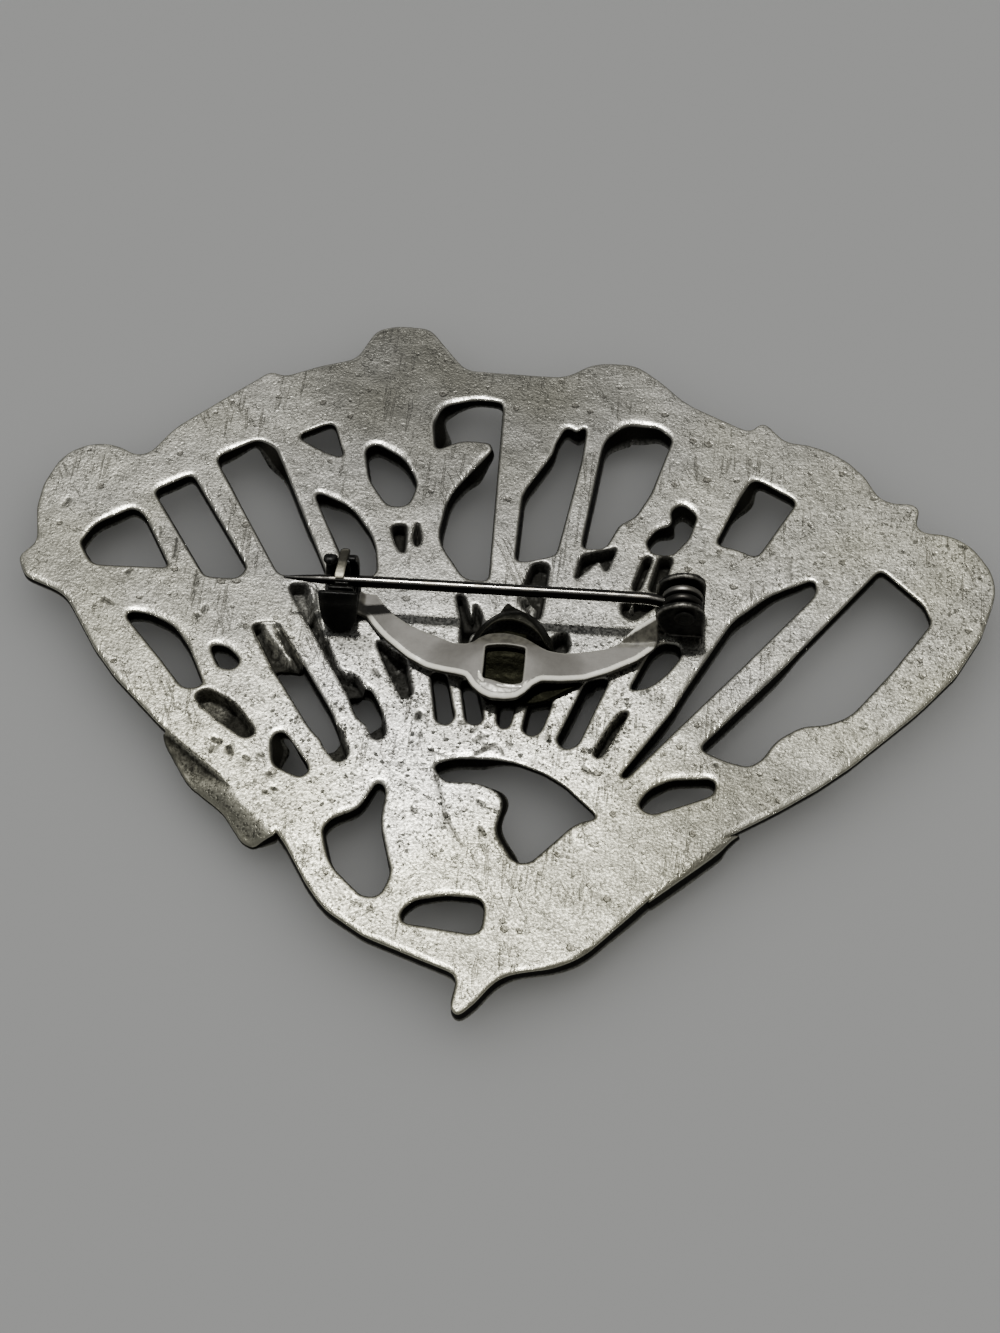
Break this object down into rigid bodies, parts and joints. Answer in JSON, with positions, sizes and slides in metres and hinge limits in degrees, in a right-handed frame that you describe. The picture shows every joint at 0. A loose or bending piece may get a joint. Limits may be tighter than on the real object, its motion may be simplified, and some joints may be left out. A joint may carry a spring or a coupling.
{
  "type": "bird brooch",
  "caption": "Pierced cast pewter brooch of a bird in flight, seen from its back, with a hinged pin, a turning catch and a strip with a bail.",
  "frame": {"origin": "under the middle of the whole brooch, on the surface that its front lies on", "axes": "+X along the pin from the catch to the hinge, +Y to the feather tips, +Z out of the back"},
  "size_m": [0.082, 0.0679, 0.0102],
  "materials": {
    "pewter": "worn cast pewter, lead-free tin alloy",
    "nickel_strip": "satin nickel silver sheet",
    "patinated_brass": "dark olive patina",
    "dark_steel": "blackened steel, worn",
    "pin_wire": "drawn wire, tarnished",
    "lock_steel": "worn plated steel"
  },
  "bodies": {
    "brooch": {"casting": "pewter", "strip": "nickel_strip", "bail": "patinated_brass", "hinge_bracket": "dark_steel", "rivet": "dark_steel", "catch_shell": "dark_steel"},
    "pin": {"pin": "pin_wire"},
    "lock": {"catch_lock": "lock_steel"}
  },
  "joints": [
    {"name": "pin_hinge", "type": "hinge", "parent": "brooch", "child": "pin", "pos_m": [0.0151, 0.0031, 0.0079], "axis": [0, 1, 0], "range_deg": [0, 80]},
    {"name": "catch_turn", "type": "hinge", "parent": "brooch", "child": "lock", "pos_m": [-0.0136, 0.0031, 0.0079], "axis": [1, 0, 0], "range_deg": [0, 100]}
  ]
}
